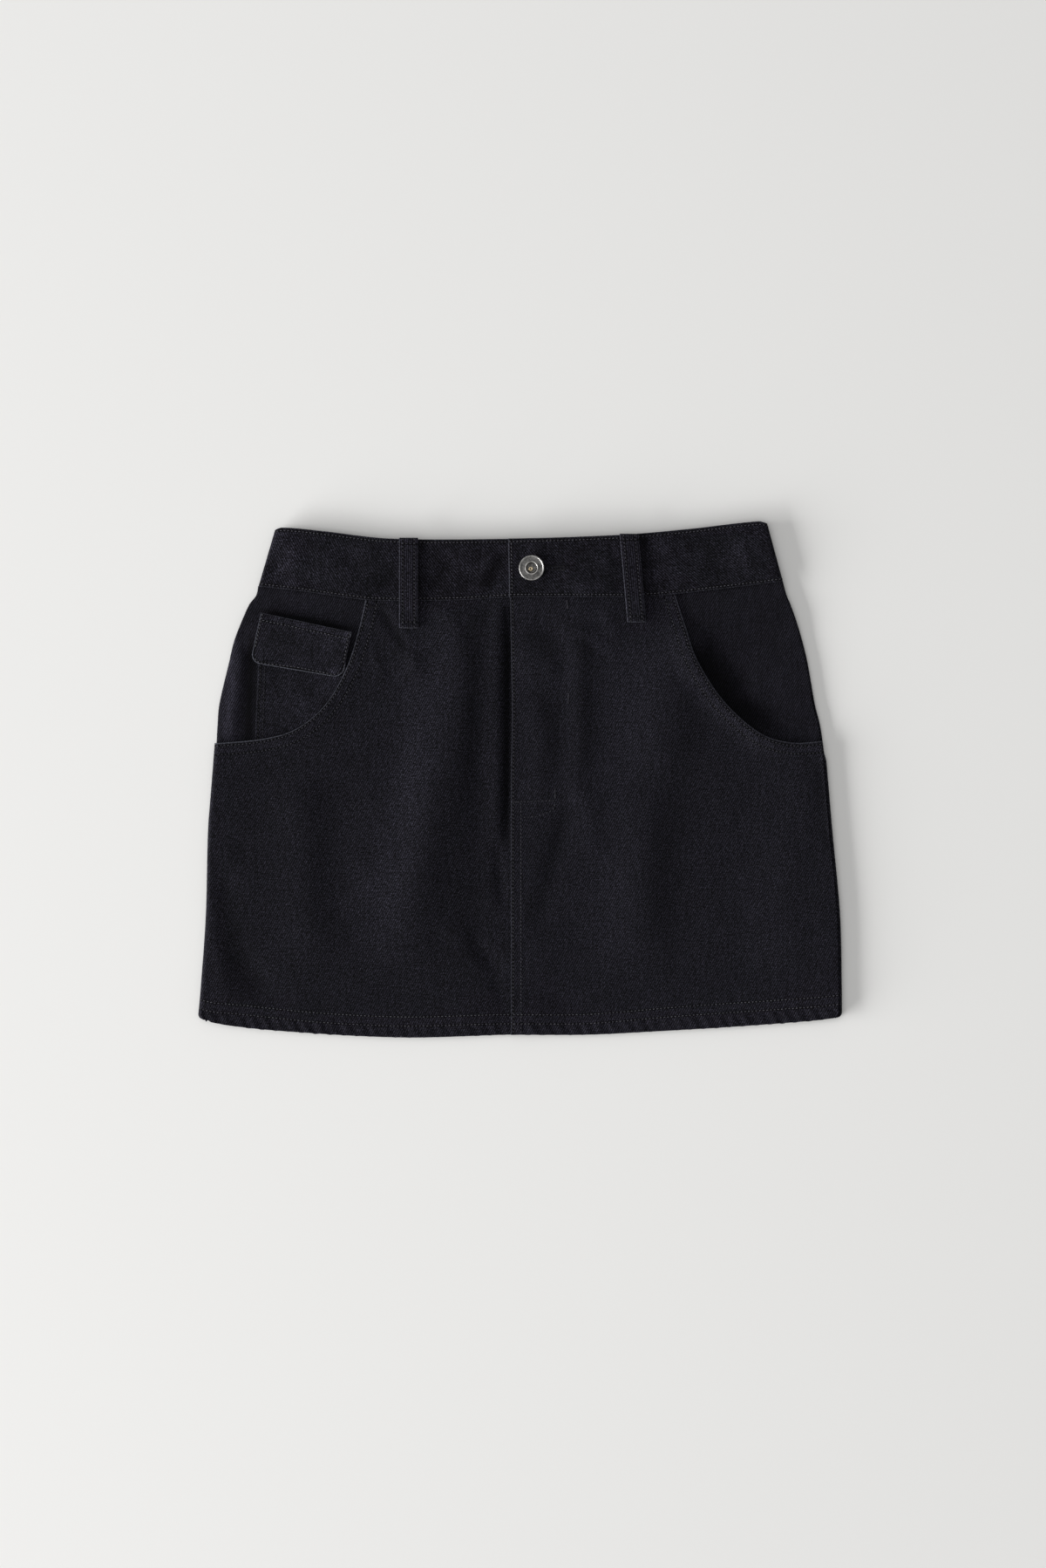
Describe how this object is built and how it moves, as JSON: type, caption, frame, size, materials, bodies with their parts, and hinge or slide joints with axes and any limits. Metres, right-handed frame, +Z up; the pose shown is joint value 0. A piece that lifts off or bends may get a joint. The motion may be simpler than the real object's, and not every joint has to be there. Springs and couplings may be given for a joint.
{
  "type": "denim skirt laid flat",
  "caption": "Black denim mini skirt laid flat, front up, with scooped hip pockets, flap coin pocket, lapped closure with a tack button, and belt loops.",
  "frame": {"origin": "on the surface it lies on, below the centre of the skirt's outline", "axes": "+X across the skirt to the viewer's right, +Y from the hem to the waist, +Z up, out of the front"},
  "size_m": [0.4432, 0.3546, 0.0125],
  "materials": {
    "denim": "black twill denim, matt, tone-on-tone topstitching, faintly worn on the edges",
    "button_metal": "aged nickel, brushed flat ring with brighter rims",
    "rivet_metal": "dull brass"
  },
  "bodies": {
    "root": {"back_panel": "denim", "front_left": "denim", "front_right": "denim", "waistband": "denim", "hip_facing_left": "denim", "hip_facing_right": "denim", "coin_pocket": "denim", "coin_flap": "denim", "fly_shield": "denim", "belt_loop_left": "denim", "belt_loop_right": "denim", "belt_loop_back_left": "denim", "belt_loop_back_centre": "denim", "belt_loop_back_right": "denim", "button": "button_metal", "button_rivet": "rivet_metal"}
  },
  "joints": []
}
